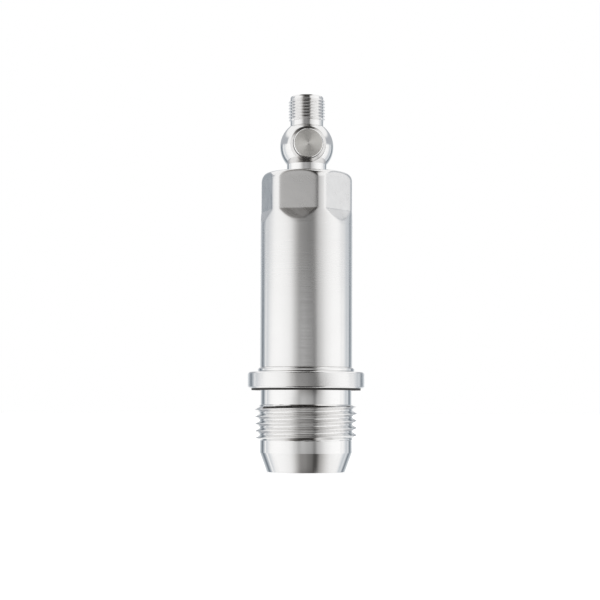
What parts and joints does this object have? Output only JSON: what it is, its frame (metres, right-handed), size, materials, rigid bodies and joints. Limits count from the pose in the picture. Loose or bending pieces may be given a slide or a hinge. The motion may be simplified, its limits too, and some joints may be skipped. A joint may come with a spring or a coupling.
{
  "type": "pressure transmitter",
  "caption": "Hygienic pressure transmitter with a flush ceramic cell in a conical G1 thread, a round housing with wrench flats and a ball-shaped M12 connector head.",
  "frame": {"origin": "centre of the end face that goes into the process, at the tip of the sealing cone", "axes": "+Z along the turned axis towards the connector, -Y out of one wrench flat; the vent is turned 16.5 degrees from -Y towards +X"},
  "size_m": [0.038, 0.038, 0.1227],
  "materials": {
    "steel_polished": "polished stainless steel",
    "steel_satin": "fine turned satin stainless steel",
    "steel_vent": "face-turned stainless steel",
    "steel_inner": "machined stainless steel",
    "elastomer": "black elastomer",
    "ptfe": "white PTFE",
    "ceramic": "off-white alumina ceramic",
    "joint_glass": "glass solder",
    "insulator": "black insulating plastic",
    "contact_gold": "gold-plated contact",
    "carrier_plastic": "natural moulded plastic",
    "board": "green circuit board",
    "chip": "black component package",
    "capacitor": "aluminium can",
    "ribbon": "amber polyimide ribbon",
    "membrane": "white vent membrane",
    "lead_brown": "brown lead insulation",
    "lead_white": "white lead insulation",
    "lead_blue": "blue lead insulation",
    "lead_black": "black lead insulation"
  },
  "bodies": {
    "root": {"backing_ring": "steel_inner", "board_carrier_lower": "carrier_plastic", "board_carrier_upper": "carrier_plastic", "body_seal": "elastomer", "capacitor_1": "capacitor", "capacitor_2": "capacitor", "carrier_seal": "elastomer", "cell_diaphragm": "ceramic", "cell_joint_ring": "joint_glass", "cell_pin_1": "contact_gold", "cell_pin_2": "contact_gold", "cell_pin_3": "contact_gold", "cell_ribbon": "ribbon", "cell_seal": "ptfe", "connector_head": "steel_polished", "contact_carrier": "insulator", "contact_pin_1": "contact_gold", "contact_pin_2": "contact_gold", "contact_pin_3": "contact_gold", "contact_pin_4": "contact_gold", "converter_chip": "chip", "driver_chip": "chip", "flange_seal": "elastomer", "head_nut": "steel_inner", "housing": "steel_satin", "inductor": "chip", "lead_1": "lead_brown", "lead_2": "lead_white", "lead_3": "lead_blue", "lead_4": "lead_black", "lead_header_back": "carrier_plastic", "lead_header_front": "carrier_plastic", "lock_ring": "steel_inner", "main_board": "board", "measuring_cell": "ceramic", "process_fitting": "steel_polished", "processor_chip": "chip", "reference_chip": "chip", "vent_cap": "steel_vent", "vent_membrane": "membrane", "vent_seal": "elastomer"}
  },
  "joints": []
}
